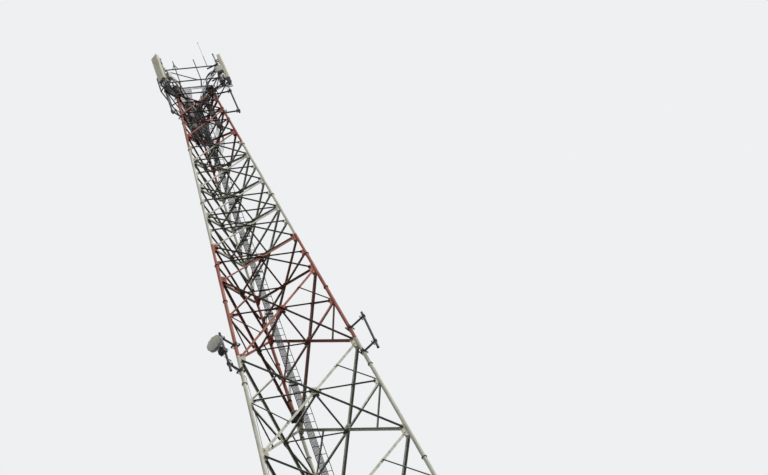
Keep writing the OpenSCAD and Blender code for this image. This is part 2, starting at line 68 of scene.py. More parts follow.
# the mast's own measures, in metres
mast = {
    "baseWidth": 3.92, "topWidth": 0.86,
    "tallPanel": 2.5, "shortPanel": 1.25, "tallCount": 8, "shortCount": 7, "lowerCount": 4,
    "foot": 0.22, "crown": 0.15,
    "legLower": 0.039, "legMiddle": 0.032, "legUpper": 0.027,
    "jointDrop": 0.70, "flangeThick": 0.008, "footTop": 0.14, "gripPart": 1.25, "gripMore": 0.034,
    "gusset": 0.006, "angle": 0.004,
    "diagLower": 0.055, "diagMiddle": 0.046, "diagUpper": 0.036, "level": 0.032,
}
panelCount = mast["tallCount"] + mast["shortCount"]
tallTop = mast["tallCount"]*mast["tallPanel"]
mastTop = tallTop + mast["shortCount"]*mast["shortPanel"]
taper = (mast["baseWidth"] - mast["topWidth"])/mastTop
legLean = math.atan(taper/math.sqrt(3))
faceLean = math.atan(taper/(2*math.sqrt(3)))
baseRadius = mast["baseWidth"]/math.sqrt(3)
levels = [mast["foot"]]
levels += [k*mast["tallPanel"] for k in range(1, mast["tallCount"] + 1)]
levels += [tallTop + k*mast["shortPanel"] for k in range(1, mast["shortCount"])]
levels += [mastTop - mast["crown"]]
splices = [levels[k + 1] - mast["jointDrop"] for k in range(panelCount)]
lowerTop = splices[mast["lowerCount"]]
middleTop = splices[mast["tallCount"]]
legTurns = {"back": 90, "left": 210, "right": 330}
faceTurns = {"front": 270, "left": 150, "right": 30}


def widthAt(h):
    return mast["baseWidth"] - taper*h


def radiusAt(h):
    return widthAt(h)/math.sqrt(3)


def legRadius(h):
    if h < lowerTop:
        return mast["legLower"]
    return mast["legMiddle"] if h < middleTop else mast["legUpper"]


def crossHeight(k):
    low, top = widthAt(levels[k]), widthAt(levels[k + 1])
    return levels[k] + (levels[k + 1] - levels[k])*low/(low + top)


def alongLeg(h):
    return h/math.cos(legLean)


def moved(x, y, z):
    return Matrix.Translation((x, y, z))


def turned(deg, axis):
    return Matrix.Rotation(math.radians(deg), 4, axis)


def turnZ(deg):
    return turned(deg, "Z")


def onMast(x=0.0, y=0.0, z=0.0):
    return moved(x, y - baseRadius, z)


def onLeg(a):
    return onMast() @ turnZ(a) @ moved(baseRadius, 0, 0) @ Matrix.Rotation(-legLean, 4, "Y")


def onFace(b):
    lean = Matrix.Rotation(math.pi/2 - faceLean, 4, "X")
    return onMast() @ turnZ(b + 90) @ moved(0, -baseRadius/2, 0) @ lean


def facePoint(h, side):
    return Vector((side*widthAt(h)/2, h/math.cos(faceLean), 0))


# shader helpers
def addNoise(tree, coords, scale, detail=4.0, rough=0.55, stretch=(1, 1, 1)):
    mapping = tree.nodes.new("ShaderNodeMapping")
    mapping.inputs["Scale"].default_value = stretch
    tree.links.new(coords, mapping.inputs["Vector"])
    noise = tree.nodes.new("ShaderNodeTexNoise")
    noise.inputs["Scale"].default_value = scale
    noise.inputs["Detail"].default_value = detail
    noise.inputs["Roughness"].default_value = rough
    tree.links.new(mapping.outputs["Vector"], noise.inputs["Vector"])
    return noise.outputs["Fac"]


def addRange(tree, value, fromMin, fromMax, toMin=0.0, toMax=1.0):
    node = tree.nodes.new("ShaderNodeMapRange")
    node.inputs["From Min"].default_value = fromMin
    node.inputs["From Max"].default_value = fromMax
    node.inputs["To Min"].default_value = toMin
    node.inputs["To Max"].default_value = toMax
    tree.links.new(value, node.inputs["Value"])
    return node.outputs["Result"]


def addMix(tree, factor, first, second):
    node = tree.nodes.new("ShaderNodeMix")
    node.data_type = "RGBA"
    for socket, value in (("Factor", factor), ("A", first), ("B", second)):
        ports = [p for p in node.inputs if p.name == socket and p.enabled]
        if isinstance(value, tuple):
            ports[0].default_value = value
        else:
            tree.links.new(value, ports[0])
    return [p for p in node.outputs if p.name == "Result" and p.enabled][0]


def heightOf(tree, vector):
    split = tree.nodes.new("ShaderNodeSeparateXYZ")
    tree.links.new(vector, split.inputs["Vector"])
    return split.outputs["Z"]


# wear that the finishes share: dirt, rust, fading and the crystals of the zinc
# a noise is its scale, detail, roughness and stretch
wear = {
    "streaks": (22.0, 5.0, 0.6, (1, 1, 0.12)), "streakRange": (0.42, 0.74),
    "spots": (46.0, 6.0, 0.7), "spotRange": (0.63, 0.70), "fade": (1.7, 3.0, 0.5), "fadeRange": (0.3, 0.7),
    "crystals": 70.0, "grain": (160.0, 3.0),
    "grime": (0.060, 0.058, 0.045, 1), "rust": (0.130, 0.045, 0.018, 1),
}


def startGroup(name, outputs):
    group = bpy.data.node_groups.new(name, "ShaderNodeTree")
    group.interface.new_socket("Vector", in_out="INPUT", socket_type="NodeSocketVector")
    for output in outputs:
        group.interface.new_socket(output, in_out="OUTPUT", socket_type="NodeSocketFloat")
    return group, group.nodes.new("NodeGroupInput").outputs["Vector"], group.nodes.new("NodeGroupOutput")


def makeWeather():
    # dirt that runs down, rust that breaks through in spots, and a slow fade of the colour
    group, coords, end = startGroup("mastWeather", ("Dirt", "Rust", "Fade"))
    streaks = addNoise(group, coords, *wear["streaks"])
    group.links.new(addRange(group, streaks, *wear["streakRange"]), end.inputs["Dirt"])
    spots = addNoise(group, coords, *wear["spots"])
    group.links.new(addRange(group, spots, *wear["spotRange"]), end.inputs["Rust"])
    slow = addNoise(group, coords, *wear["fade"])
    group.links.new(addRange(group, slow, *wear["fadeRange"]), end.inputs["Fade"])
    return group


def makeZinc():
    # spangle of hot-dip zinc: small crystals in slightly different greys
    group, coords, end = startGroup("zincSpangle", ("Shade", "Height"))
    cells = group.nodes.new("ShaderNodeTexVoronoi")
    cells.inputs["Scale"].default_value = wear["crystals"]
    group.links.new(coords, cells.inputs["Vector"])
    grey = group.nodes.new("ShaderNodeRGBToBW")
    group.links.new(cells.outputs["Color"], grey.inputs["Color"])
    group.links.new(addRange(group, grey.outputs["Val"], 0.0, 1.0), end.inputs["Shade"])
    group.links.new(addNoise(group, coords, *wear["grain"]), end.inputs["Height"])
    return group


weather = makeWeather()
zinc = makeZinc()


def startMaterial(name):
    mat = bpy.data.materials.new(name)
    mat.use_nodes = True
    tree = mat.node_tree
    shader = tree.nodes["Principled BSDF"]
    coords = tree.nodes.new("ShaderNodeTexCoord").outputs["Object"]
    return mat, tree, shader, coords


def addGroup(tree, group, coords):
    node = tree.nodes.new("ShaderNodeGroup")
    node.node_tree = group
    tree.links.new(coords, node.inputs["Vector"])
    return node


def addBump(tree, shader, height, strength, distance):
    bump = tree.nodes.new("ShaderNodeBump")
    bump.inputs["Strength"].default_value = strength
    bump.inputs["Distance"].default_value = distance
    tree.links.new(height, bump.inputs["Height"])
    tree.links.new(bump.outputs["Normal"], shader.inputs["Normal"])


def addDirt(tree, worn, colour, amount):
    return addMix(tree, addRange(tree, worn.outputs["Dirt"], 0, 1, 0, amount), colour, wear["grime"])


def addRust(tree, worn, colour, amount):
    return addMix(tree, addRange(tree, worn.outputs["Rust"], 0, 1, 0, amount), colour, wear["rust"])


def roughenByDirt(tree, worn, shader, limits):
    tree.links.new(addRange(tree, worn.outputs["Dirt"], 0, 1, *limits), shader.inputs["Roughness"])


paint = {
    "red": (0.300, 0.068, 0.042, 1), "redFaded": (0.420, 0.150, 0.105, 1),
    "cream": (0.560, 0.545, 0.430, 1), "creamFaded": (0.640, 0.635, 0.560, 1),
    "borders": (4.375, 8.75, 13.125, 17.5, 21.25, 25.625), "fullHeight": 30.0,
    # painted shade on the undersides: its colour, its strength, and the normal's z over which it comes in
    "undersideShade": (0.014, 0.026, 0.022, 1), "undersideShadeAmount": 0.85, "undersideShadeSlope": (-0.12, -0.60),
    "dirt": 0.45, "boltDirt": 0.8, "rust": 0.75, "rough": (0.48, 0.75), "specular": 0.2,
    "brush": (90.0, 4.0), "bump": (0.25, 0.001),
}


def addBands(tree, height, first, second):
    ramp = tree.nodes.new("ShaderNodeValToRGB")
    ramp.color_ramp.interpolation = "CONSTANT"
    stops = ramp.color_ramp.elements
    stops[0].color = paint[first]
    stops[1].position = paint["borders"][0]/paint["fullHeight"]
    stops[1].color = paint[second]
    for i, border in enumerate(paint["borders"][1:]):
        stops.new(border/paint["fullHeight"]).color = paint[second if i % 2 else first]
    tree.links.new(height, ramp.inputs["Fac"])
    return ramp.outputs["Color"]


def makeMastPaint(name, dirtAmount):
    # bands of red and cream, faded in patches, with dirt and rust
    mat, tree, shader, coords = startMaterial(name)
    height = addRange(tree, heightOf(tree, coords), 0.0, paint["fullHeight"])
    fresh = addBands(tree, height, "red", "cream")
    faded = addBands(tree, height, "redFaded", "creamFaded")
    shader.inputs["Specular IOR Level"].default_value = paint["specular"]
    worn = addGroup(tree, weather, coords)
    colour = addMix(tree, worn.outputs["Fade"], fresh, faded)
    colour = addDirt(tree, worn, colour, dirtAmount)
    colour = addRust(tree, worn, colour, paint["rust"])
    # painted shade: faces that point downwards are darkened to a green-black, standing in for the shade
    # under the bars
    slope = heightOf(tree, tree.nodes.new("ShaderNodeTexCoord").outputs["Normal"])
    paintedShade = addRange(tree, slope, *paint["undersideShadeSlope"], 0, paint["undersideShadeAmount"])
    colour = addMix(tree, paintedShade, colour, paint["undersideShade"])
    tree.links.new(colour, shader.inputs["Base Color"])
    roughenByDirt(tree, worn, shader, paint["rough"])
    addBump(tree, shader, addNoise(tree, coords, *paint["brush"]), *paint["bump"])
    return mat


steels = {
    "brightZinc": {"bright": (0.30, 0.31, 0.31, 1), "dull": (0.17, 0.18, 0.18, 1),
                   "rust": 0.5, "rough": 0.42, "metal": 0.45},
    "darkZinc": {"bright": (0.075, 0.078, 0.078, 1), "dull": (0.032, 0.034, 0.034, 1),
                 "rust": 0.6, "rough": 0.60, "metal": 0.15},
    "boltZinc": {"bright": (0.13, 0.13, 0.125, 1), "dull": (0.06, 0.06, 0.058, 1),
                 "rust": 0.9, "rough": 0.50, "metal": 0.35},
    # painted shade: the ladder's steel is near-black, standing in for the shade it shows seen from below
    "ladderPaintedShade": {"bright": (0.020, 0.022, 0.022, 1), "dull": (0.009, 0.010, 0.010, 1),
                    "rust": 0.5, "rough": 0.75, "metal": 0.0},
}
steelWear = {"dirt": 0.55, "roughMore": 0.18, "metalUnderDirt": 0.4, "bump": (0.2, 0.0006)}


def makeSteel(name):
    look = steels[name]
    mat, tree, shader, coords = startMaterial(name)
    crystals = addGroup(tree, zinc, coords)
    worn = addGroup(tree, weather, coords)
    colour = addMix(tree, crystals.outputs["Shade"], look["dull"], look["bright"])
    colour = addDirt(tree, worn, colour, steelWear["dirt"])
    colour = addRust(tree, worn, colour, look["rust"])
    tree.links.new(colour, shader.inputs["Base Color"])
    metal, rough = look["metal"], look["rough"]
    metalUnder, rougher = metal*steelWear["metalUnderDirt"], rough + steelWear["roughMore"]
    metalMap = addRange(tree, worn.outputs["Dirt"], 0, 1, metal, metalUnder)
    roughMap = addRange(tree, crystals.outputs["Shade"], 0, 1, rough, rougher)
    tree.links.new(metalMap, shader.inputs["Metallic"])
    tree.links.new(roughMap, shader.inputs["Roughness"])
    addBump(tree, shader, crystals.outputs["Height"], *steelWear["bump"])
    return mat


covers = {
    "antennaCover": {"pale": (0.560, 0.530, 0.400, 1), "stained": (0.440, 0.400, 0.280, 1),
                     "grain": (500.0, 2.0)},
    "radomeCover": {"pale": (0.520, 0.520, 0.450, 1), "stained": (0.400, 0.390, 0.310, 1),
                    "grain": (400.0, 2.0)},
}
coverWear = {"dirt": 0.3, "rough": (0.42, 0.65), "bump": (0.15, 0.0005)}


def makeCover(name):
    # moulded plastic: fine grain, rain streaks and a slight yellowing
    look = covers[name]
    mat, tree, shader, coords = startMaterial(name)
    worn = addGroup(tree, weather, coords)
    colour = addMix(tree, worn.outputs["Fade"], look["pale"], look["stained"])
    colour = addDirt(tree, worn, colour, coverWear["dirt"])
    tree.links.new(colour, shader.inputs["Base Color"])
    roughenByDirt(tree, worn, shader, coverWear["rough"])
    addBump(tree, shader, addNoise(tree, coords, *look["grain"]), *coverWear["bump"])
    return mat


caseLook = {
    "dark": (0.075, 0.078, 0.074, 1), "pale": (0.520, 0.510, 0.460, 1), "paleFrom": (28.60, 28.62),
    "dirt": 0.45, "rough": (0.45, 0.7), "grain": (700.0, 2.0), "bump": (0.15, 0.0004),
}


def makeRadioPaint():
    # pale from just below the deck upwards, dark further down
    mat, tree, shader, coords = startMaterial("radioPaint")
    worn = addGroup(tree, weather, coords)
    above = addRange(tree, heightOf(tree, coords), *caseLook["paleFrom"])
    colour = addMix(tree, above, caseLook["dark"], caseLook["pale"])
    colour = addDirt(tree, worn, colour, caseLook["dirt"])
    tree.links.new(colour, shader.inputs["Base Color"])
    roughenByDirt(tree, worn, shader, caseLook["rough"])
    addBump(tree, shader, addNoise(tree, coords, *caseLook["grain"]), *caseLook["bump"])
    return mat


jacket = {
    "black": (0.010, 0.011, 0.011, 1), "dusty": (0.045, 0.046, 0.044, 1), "dust": (12.0, 4.0),
    "dustRange": (0.45, 0.75), "roughFrom": (0.3, 0.7), "rough": (0.38, 0.6),
    "grain": (300.0, 2.0), "bump": (0.2, 0.0004),
}


def makeJacket():
    # black polyethylene jacket, greyed by dust in patches
    mat, tree, shader, coords = startMaterial("cableJacket")
    dust = addNoise(tree, coords, *jacket["dust"])
    colour = addMix(tree, addRange(tree, dust, *jacket["dustRange"]), jacket["black"], jacket["dusty"])
    tree.links.new(colour, shader.inputs["Base Color"])
    rough = addRange(tree, dust, *jacket["roughFrom"], *jacket["rough"])
    tree.links.new(rough, shader.inputs["Roughness"])
    addBump(tree, shader, addNoise(tree, coords, *jacket["grain"]), *jacket["bump"])
    return mat


mastPaint = makeMastPaint("mastPaint", paint["dirt"])
boltPaint = makeMastPaint("boltPaint", paint["boltDirt"])
brightZinc = makeSteel("brightZinc")
darkZinc = makeSteel("darkZinc")
boltZinc = makeSteel("boltZinc")
ladderPaintedShade = makeSteel("ladderPaintedShade")
antennaCover = makeCover("antennaCover")
radomeCover = makeCover("radomeCover")
radioPaint = makeRadioPaint()
cableJacket = makeJacket()
print("materials ready")

nodeFinish = {
    "base_plate": brightZinc, "leg": mastPaint, "front_lattice": mastPaint, "left_lattice": mastPaint,
    "right_lattice": mastPaint, "plan_bracing": mastPaint, "ladder": ladderPaintedShade, "feeder": cableJacket,
    "rest": darkZinc, "platform": darkZinc, "head": darkZinc, "antenna_pipes": brightZinc,
    "panel_antenna": antennaCover, "radio": radioPaint, "standoff": darkZinc, "dish_mount": darkZinc,
    "dish_radome": radomeCover, "dish": brightZinc, "lightning": brightZinc,
}


def finishNodes():
    for name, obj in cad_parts.items():
        fits = [key for key in nodeFinish if name.startswith(key)]
        finish = nodeFinish[max(fits, key=len)]
        obj.data.materials.clear()
        obj.data.materials.append(finish)


finishNodes()
print("frame dressed")


# helpers for new pieces, and the sides of what is round
roundSides = {"pipe": 32, "cap": 24, "arm": 20}


def keepPiece(bm, name, finish, smooth=False):
    mesh = bpy.data.meshes.new(name)
    bm.to_mesh(mesh)
    bm.free()
    for face in mesh.polygons:
        face.use_smooth = smooth
    mesh.materials.append(finish)
    obj = bpy.data.objects.new(name, mesh)
    scene.collection.objects.link(obj)
    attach(obj, "root")
    return obj


def addRod(bm, place, radius, depth, sides):
    bmesh.ops.create_cone(bm, cap_ends=True, segments=sides, radius1=radius, radius2=radius,
                          depth=depth, matrix=place)


def addRods(bm, place, rods):
    # each rod is its shift along the place's z, radius, depth and sides
    for shift, radius, depth, sides in rods:
        addRod(bm, place @ moved(0, 0, shift), radius, depth, sides)


def bevelLines(bm, lines, offset, segments):
    bmesh.ops.bevel(bm, geom=lines, offset=offset, offset_type="OFFSET", affect="EDGES",
                    segments=segments, profile=0.5, material=-1)


def addBox(bm, place, size, edge=0.0, segments=2):
    made = bmesh.ops.create_cube(bm, size=1.0, matrix=place @ Matrix.Diagonal((*size, 1)))
    if edge:
        bevelLines(bm, list({e for v in made["verts"] for e in v.link_edges}), edge, segments)


# a cable's section, and its steps between two knots
cableLine = {"section": 0.01, "roundness": 1, "steps": 5}


def layCables(name, routes, finish):
    # sweeps a round section along each smooth line
    data = bpy.data.curves.new(name, "CURVE")
    data.dimensions = "3D"
    data.bevel_depth = cableLine["section"]
    data.bevel_resolution = cableLine["roundness"]
    data.resolution_u = cableLine["steps"]
    data.use_fill_caps = True
    for radius, points in routes:
        line = data.splines.new("BEZIER")
        line.bezier_points.add(len(points) - 1)
        for knot, point in zip(line.bezier_points, points):
            knot.co = point
            knot.radius = radius/data.bevel_depth
            knot.handle_left_type = knot.handle_right_type = "AUTO"
    holder = bpy.data.objects.new(name + "_line", data)
    scene.collection.objects.link(holder)
    mesh = bpy.data.meshes.new_from_object(holder.evaluated_get(bpy.context.evaluated_depsgraph_get()))
    bpy.data.objects.remove(holder)
    bm = bmesh.new()
    bm.from_mesh(mesh)
    bpy.data.meshes.remove(mesh)
    bmesh.ops.recalc_face_normals(bm, faces=bm.faces)
    return keepPiece(bm, name, finish, smooth=True)


def bowLine(place, half, lift):
    # a U-bolt's line from the knots of one half, the last of them on its middle
    line = [(x, -y) for x, y in half] + [(x, y) for x, y in half[-2::-1]]
    return [place @ Vector((x, y, lift)) for x, y in line]


# a bolt's shape, as parts of its width across
boltShape = {"tall": 0.62, "thread": 0.3, "threadDeep": 0.434, "threadOut": 0.806}
boltSides = 6


def addBolt(bm, place, across, under, over):
    # head above the seat at +over, nut and thread end below the seat at -under, along the place's z
    tall, radius = across*boltShape["tall"], across/math.sqrt(3)
    for shift in (over + tall/2, -under - tall/2):
        addRod(bm, place @ moved(0, 0, shift), radius, tall, boltSides)
    end = place @ moved(0, 0, -under - across*boltShape["threadOut"])
    addRod(bm, end, across*boltShape["thread"], across*boltShape["threadDeep"], boltSides)


# bolts of the leg flanges
flangeBolts = {
    "lowerCount": 10, "upperCount": 8, "across": 0.008, "out": 0.0065, "stepOut": 0.0045, "below": 0.01,
    "upperSteps": (2, 4),
}


def flangeJoints():
    tall = mast["tallCount"]
    upper = [splices[tall + step] for step in flangeBolts["upperSteps"]]
    return [mast["footTop"]] + splices[:tall + 1] + upper


def boltFlanges():
    thick = mast["flangeThick"]
    for legName, turn in legTurns.items():
        bm = bmesh.new()
        for h in flangeJoints():
            below = legRadius(h - flangeBolts["below"])
            ring = max(below, legRadius(h)) + flangeBolts["out"]
            if h in (lowerTop, middleTop):
                ring = below + flangeBolts["stepOut"]
            count = flangeBolts["lowerCount"] if h < lowerTop else flangeBolts["upperCount"]
            joint = onLeg(turn) @ moved(0, 0, alongLeg(h))
            for i in range(count):
                place = joint @ turnZ(360*(i + 0.5)/count) @ moved(ring, 0, 0)
                addBolt(bm, place, flangeBolts["across"], thick, thick)
        keepPiece(bm, "flange_bolts_" + legName, boltPaint)


boltFlanges()
print("flange bolts done")

# bolts of the bracing: two at each bar end, and four on each diagonal round the crossing
# widest, offLine, crossing and levelEnd are parts of the bar's width, levelPitch is a part of pitch
braceBolts = {
    "across": 0.013, "widest": 0.42, "pitch": 0.022, "first": 0.014, "offLine": 0.05,
    "crossing": (-1.3, -0.8, 0.8, 1.3), "levelEnd": 1.3, "levelPitch": 0.7,
}


def gripAt(h):
    # from the leg's middle line to the first bolt of a bar
    return legRadius(h)*mast["gripPart"] + mast["gripMore"] + braceBolts["first"]


def diagWidth(k):
    if k < mast["lowerCount"]:
        return mast["diagLower"]
    return mast["diagMiddle"] if k < mast["tallCount"] else mast["diagUpper"]


def boltBar(bm, face, start, end, distances, width, side):
    run = (end - start).normalized()
    across = Vector((-run.y, run.x, 0))
    size = min(braceBolts["across"], width*braceBolts["widest"])
    seat = mast["gusset"]/2
    for d in distances:
        spot = start + run*d + across*width*braceBolts["offLine"]
        place = face @ Matrix.Translation(spot)
        if side < 0:
            place = place @ turned(180, "X")
        addBolt(bm, place, size, seat, seat + mast["angle"])


def boltPanel(bm, face, k):
    low, top, mid = levels[k], levels[k + 1], crossHeight(k)
    width, pitch = diagWidth(k), braceBolts["pitch"]
    centre = Vector((0, mid/math.cos(faceLean), 0))
    for side in (-1, 1):
        start, end = facePoint(low, side), facePoint(top, -side)
        length, half = (end - start).length, (centre - start).length
        near, far = gripAt(low), length - gripAt(top)
        spots = [near, near + pitch, far, far - pitch] + [half + width*s for s in braceBolts["crossing"]]
        boltBar(bm, face, start, end, spots, width, side)
    for side in (-1, 1):
        start = facePoint(mid, side)
        near = gripAt(mid)
        inner = (centre - start).length - width*braceBolts["levelEnd"] - braceBolts["first"]
        spots = [near, near + pitch, inner, inner - pitch*braceBolts["levelPitch"]]
        boltBar(bm, face, start, centre, spots, mast["level"], 1)


def boltBracing():
    tall = mast["tallCount"]
    parts = (("lower", range(tall)), ("upper", range(tall, panelCount)))
    for faceName, turn in faceTurns.items():
        for part, panels in parts:
            bm = bmesh.new()
            for k in panels:
                boltPanel(bm, onFace(turn), k)
            name = "brace_bolts_" + faceName + "_" + part
            keepPiece(bm, name, boltPaint)


boltBracing()
print("brace bolts done")

# feeder hangers: a strap across the cables at each bracket, with a screw on either side of each cable
feeders = {
    "count": 6, "off": 0.380, "first": -0.030, "pitch": 0.021, "width": 0.015, "drop": 0.200, "foot": 1.2,
}
hangers = {
    "levelPart": 0.42, "footRoom": 0.05, "seat": 0.002, "thick": 0.004, "spare": 0.01, "tall": 0.022,
    "edge": 0.001, "screw": ((-0.004, 0.0028, 0.024, 8), (0.004, 0.0048, 0.004, 6)),
}


def feederSpot(i, s):
    off, along = feeders["width"]/2 - feeders["off"], feeders["first"] - i*feeders["pitch"]
    return onLeg(legTurns["back"]) @ Vector((off, along, s))


def hangFeeders():
    bm = bmesh.new()
    count, pitch = feeders["count"], feeders["pitch"]
    middle = feeders["first"] - pitch*(count - 1)/2
    out = feeders["width"] - feeders["off"] + hangers["seat"]
    strap = (hangers["thick"], pitch*count + hangers["spare"], hangers["tall"])
    part = hangers["levelPart"]
    for k in range(panelCount):
        h = levels[k]*part + crossHeight(k)*(1 - part)
        if h < feeders["foot"] + hangers["footRoom"] or h > mastTop - feeders["drop"]:
            continue
        place = onLeg(legTurns["back"]) @ moved(out, middle, alongLeg(h))
        addBox(bm, place, strap, hangers["edge"])
        for i in range(count + 1):
            addRods(bm, place @ moved(0, pitch*(i - count/2), 0) @ turned(90, "Y"), hangers["screw"])
    keepPiece(bm, "feeder_hangers", brightZinc)


hangFeeders()
print("feeder hangers done")

# head of the mast: the rings that carry the antenna pipes, and the pipes
head = {
    "in": 0.525, "corner": 1.05, "cut": 0.25, "rise": 0.750, "low": 0.020, "tube": 0.030,
    "pipe": 0.038, "pipeFoot": mastTop - 0.060, "pipeLength": 1.420, "pipeRoom": 0.0002,
    "leftIn": 0.050, "rightOut": 0.055,
}
slope60 = math.sin(math.radians(60))
headFar = head["corner"] - head["cut"]*slope60
headHalf = (headFar - head["in"]/2)/slope60
poleSeat = head["tube"]/2 + head["pipe"]/2 + head["pipeRoom"]
poles = {
    "left": {"at": (head["leftIn"] - headHalf, -head["in"] - poleSeat), "turn": 220, "gap": 0.150,
             "drop": 0.0, "radioTurn": 25, "radioFoot": 28.93},
    "right": {"at": (head["rightOut"] + headHalf, -head["in"] - poleSeat), "turn": -14, "gap": 0.070,
              "drop": 0.14, "radioTurn": 252, "radioFoot": 28.85},
    "back": {"at": (0.0, headFar + poleSeat), "turn": 90, "gap": 0.105,
             "drop": 0.0, "radioTurn": 270, "radioFoot": 28.95},
}
pipeClamps = {
    "plate": (0.076, 0.007, 0.050), "edge": 0.0015, "outside": 0.005, "between": 0.004, "boltAt": 0.029,
    "bolt": ((0, 0.0045, 0.105, 8), (-0.046, 0.008, 0.008, 6), (0.040, 0.008, 0.008, 6)),
}


def onPole(side, turn=0.0):
    x, y = poles[side]["at"]
    return onMast(x, y) @ turnZ(turn)


def onPanel(side, x, y, z):
    # x is from the housing's back face outwards, z from the foot of the housing
    pole = poles[side]
    return onPole(side, pole["turn"]) @ moved(pole["gap"] + x, y, housing["foot"] - pole["drop"] + z)


def buildPipes():
    bm = bmesh.new()
    pipe, tube = head["pipe"]/2, head["tube"]/2
    plates = (-pipe - pipeClamps["outside"], poleSeat - tube - pipeClamps["between"],
              poleSeat + tube + pipeClamps["outside"])
    for side in poles:
        spot = onPole(side, 180 if side == "back" else 0)
        length = head["pipeLength"]
        addRod(bm, spot @ moved(0, 0, head["pipeFoot"] + length/2), pipe, length, roundSides["pipe"])
        for z in (mastTop + head["low"], mastTop + head["rise"]):
            for y in plates:
                addBox(bm, spot @ moved(0, y, z), pipeClamps["plate"], pipeClamps["edge"])
            for x in (-pipeClamps["boltAt"], pipeClamps["boltAt"]):
                addRods(bm, spot @ moved(x, poleSeat/2, z) @ turned(90, "X"), pipeClamps["bolt"])
    pipes = keepPiece(bm, "antenna_pipe_set", brightZinc)
    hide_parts("antenna_pipes")


# antenna housings: a rounded front, set-back end caps and two ribs
housing = {
    "foot": 28.565, "tall": 1.400, "wide": 0.205, "deep": 0.090, "frontRound": 0.034, "rearRound": 0.008,
    "frontSteps": 6, "rearSteps": 2, "endRoom": 0.018, "cap": 0.024, "capIn": 0.006, "capEdge": 0.009,
    "capSteps": 3,
    "ribAt": 0.28, "ribWide": 0.010, "ribDeep": 0.0025, "ribSunk": 0.001, "ribShort": 0.060,
}


def buildAntennas():
    deep, wide, tall = housing["deep"], housing["wide"], housing["tall"]
    ribOut = deep/2 + housing["ribDeep"]/2 - housing["ribSunk"]
    for side in poles:
        bm = bmesh.new()
        shape = Matrix.Diagonal((deep, wide, tall - 2*housing["endRoom"], 1))
        bmesh.ops.create_cube(bm, size=1.0, matrix=shape)
        upright = [e for e in bm.edges if abs(e.verts[0].co.z - e.verts[1].co.z) > tall/2]
        front = [e for e in upright if e.verts[0].co.x > 0]
        rear = [e for e in upright if e.verts[0].co.x < 0]
        bevelLines(bm, front, housing["frontRound"], housing["frontSteps"])
        bevelLines(bm, rear, housing["rearRound"], housing["rearSteps"])
        capSize = (deep - housing["capIn"], wide - housing["capIn"], housing["cap"])
        for end in (-1, 1):
            place = moved(0, 0, end*(tall - housing["cap"])/2)
            addBox(bm, place, capSize, housing["capEdge"], housing["capSteps"])
        for y in (-housing["ribAt"], housing["ribAt"]):
            ribSize = (housing["ribDeep"], housing["ribWide"], tall - housing["ribShort"])
            addBox(bm, moved(ribOut, wide*y, 0), ribSize, housing["ribSunk"])
        bmesh.ops.transform(bm, matrix=onPanel(side, deep/2, 0, tall/2), verts=bm.verts[:])
        piece = keepPiece(bm, "antenna_housing_" + side, antennaCover)
        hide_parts("panel_antenna_" + side)


# connectors under the antennas
plugs = {
    "count": 6, "rowAt": 0.026, "rowStep": 0.034, "columnStep": 0.066, "cableEnd": 0.055,
    "rods": ((-0.010, 0.0105, 0.020, 10), (-0.026, 0.0085, 0.014, 6), (-0.045, 0.0100, 0.030, 10)),
}
# tilt brackets between pipe and housing, each with two U-bolts
tilt = {
    "parts": (0.10, 0.90), "edge": 0.0015, "cheekRoom": 0.024, "cheekAt": 0.023, "cheek": (0.005, 0.052),
    "boltPart": 0.6, "bolt": (0.0075, 0.016, 6), "back": (0.005, 0.130, 0.060), "backIn": 0.003,
    "saddle": (0.006, 0.062, 0.044), "saddleAt": 0.027, "bow": 0.004, "bowLift": 0.010,
    "bowKnots": ((0.036, 1.0), (0.012, 1.0), (-0.009, 0.80), (-0.0235, 0.0)),
}
# caps on the pipes' ends, and the arms that reach out to the right pipe
pipeCaps = {"over": 0.004, "tall": 0.034}
headArm = {"from": (0.455, -0.470), "to": (0.730, -0.585), "radius": 0.019, "under": 0.034}


def plugSpot(side, i, z):
    return onPanel(side, plugs["rowAt"] + plugs["rowStep"]*(i % 2), plugs["columnStep"]*(i//2 - 1), z)


def addTilt(bm, bows, side, z):
    face = onPole(side, poles[side]["turn"])
    gap = poles[side]["gap"]
    cheek = (gap - tilt["cheekRoom"], *tilt["cheek"])
    for y in (-tilt["cheekAt"], tilt["cheekAt"]):
        addBox(bm, face @ moved((gap + tilt["cheekRoom"])/2, y, z), cheek, tilt["edge"])
        addRod(bm, face @ moved(gap*tilt["boltPart"], y, z) @ turned(90, "X"), *tilt["bolt"])
    addBox(bm, face @ moved(gap - tilt["backIn"], 0, z), tilt["back"], tilt["edge"])
    addBox(bm, face @ moved(tilt["saddleAt"], 0, z), tilt["saddle"], tilt["edge"])
    r = head["pipe"]/2 + tilt["bow"]
    half = [(x, r*part) for x, part in tilt["bowKnots"]]
    for lift in (-tilt["bowLift"], tilt["bowLift"]):
        bows.append((tilt["bow"], bowLine(face, half, z + lift)))


def dressAntennas():
    fittings = bmesh.new()
    caps = bmesh.new()
    bows = []
    for side in poles:
        for i in range(plugs["count"]):
            addRods(fittings, plugSpot(side, i, 0), plugs["rods"])
        for part in tilt["parts"]:
            addTilt(fittings, bows, side, housing["foot"] - poles[side]["drop"] + housing["tall"]*part)
        for z in (head["pipeFoot"], head["pipeFoot"] + head["pipeLength"]):
            radius = head["pipe"]/2 + pipeCaps["over"]
            addRod(caps, onPole(side) @ moved(0, 0, z), radius, pipeCaps["tall"], roundSides["cap"])
    for rise in (head["rise"], head["low"]):
        z = mastTop + rise - headArm["under"]
        start, end = (onMast(*headArm[key], z).translation for key in ("from", "to"))
        along = (end - start).to_track_quat("Z", "Y").to_matrix().to_4x4()
        place = Matrix.Translation((start + end)/2) @ along
        addRod(fittings, place, headArm["radius"], (end - start).length, roundSides["arm"])
    keepPiece(fittings, "antenna_fittings", darkZinc)
    keepPiece(caps, "pipe_caps", cableJacket)
    layCables("antenna_bows", bows, boltZinc)


buildPipes()
buildAntennas()
dressAntennas()
print("antennas done")

